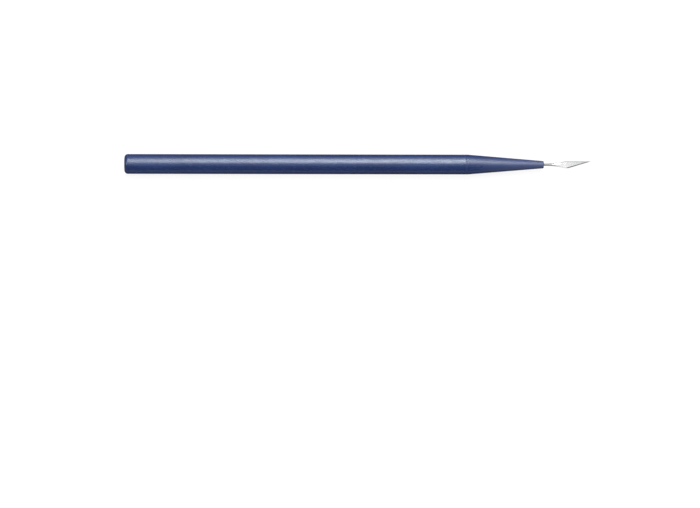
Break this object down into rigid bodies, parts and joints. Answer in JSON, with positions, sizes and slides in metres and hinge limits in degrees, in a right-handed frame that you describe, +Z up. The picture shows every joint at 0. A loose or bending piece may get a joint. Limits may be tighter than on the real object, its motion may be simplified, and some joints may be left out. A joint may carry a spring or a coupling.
{
  "type": "stab knife",
  "caption": "Straight eye-surgery stab knife: slim round handle with a conical nose, moulded round a small flat lance blade with a slanting ground edge.",
  "frame": {"origin": "centre of the flat rear end face of the handle, on its axis", "axes": "+X along the handle's axis from the rear end to the blade's tip; +Y towards the blunt spine, away from the cutting edge; +Z up, normal to the blade's flat faces"},
  "size_m": [0.1414, 0.006, 0.006],
  "materials": {
    "handle": "satin moulded ABS, navy",
    "blade": "pressed and ground stainless wire"
  },
  "bodies": {
    "root": {"handle": "handle", "blade": "blade"}
  },
  "joints": []
}
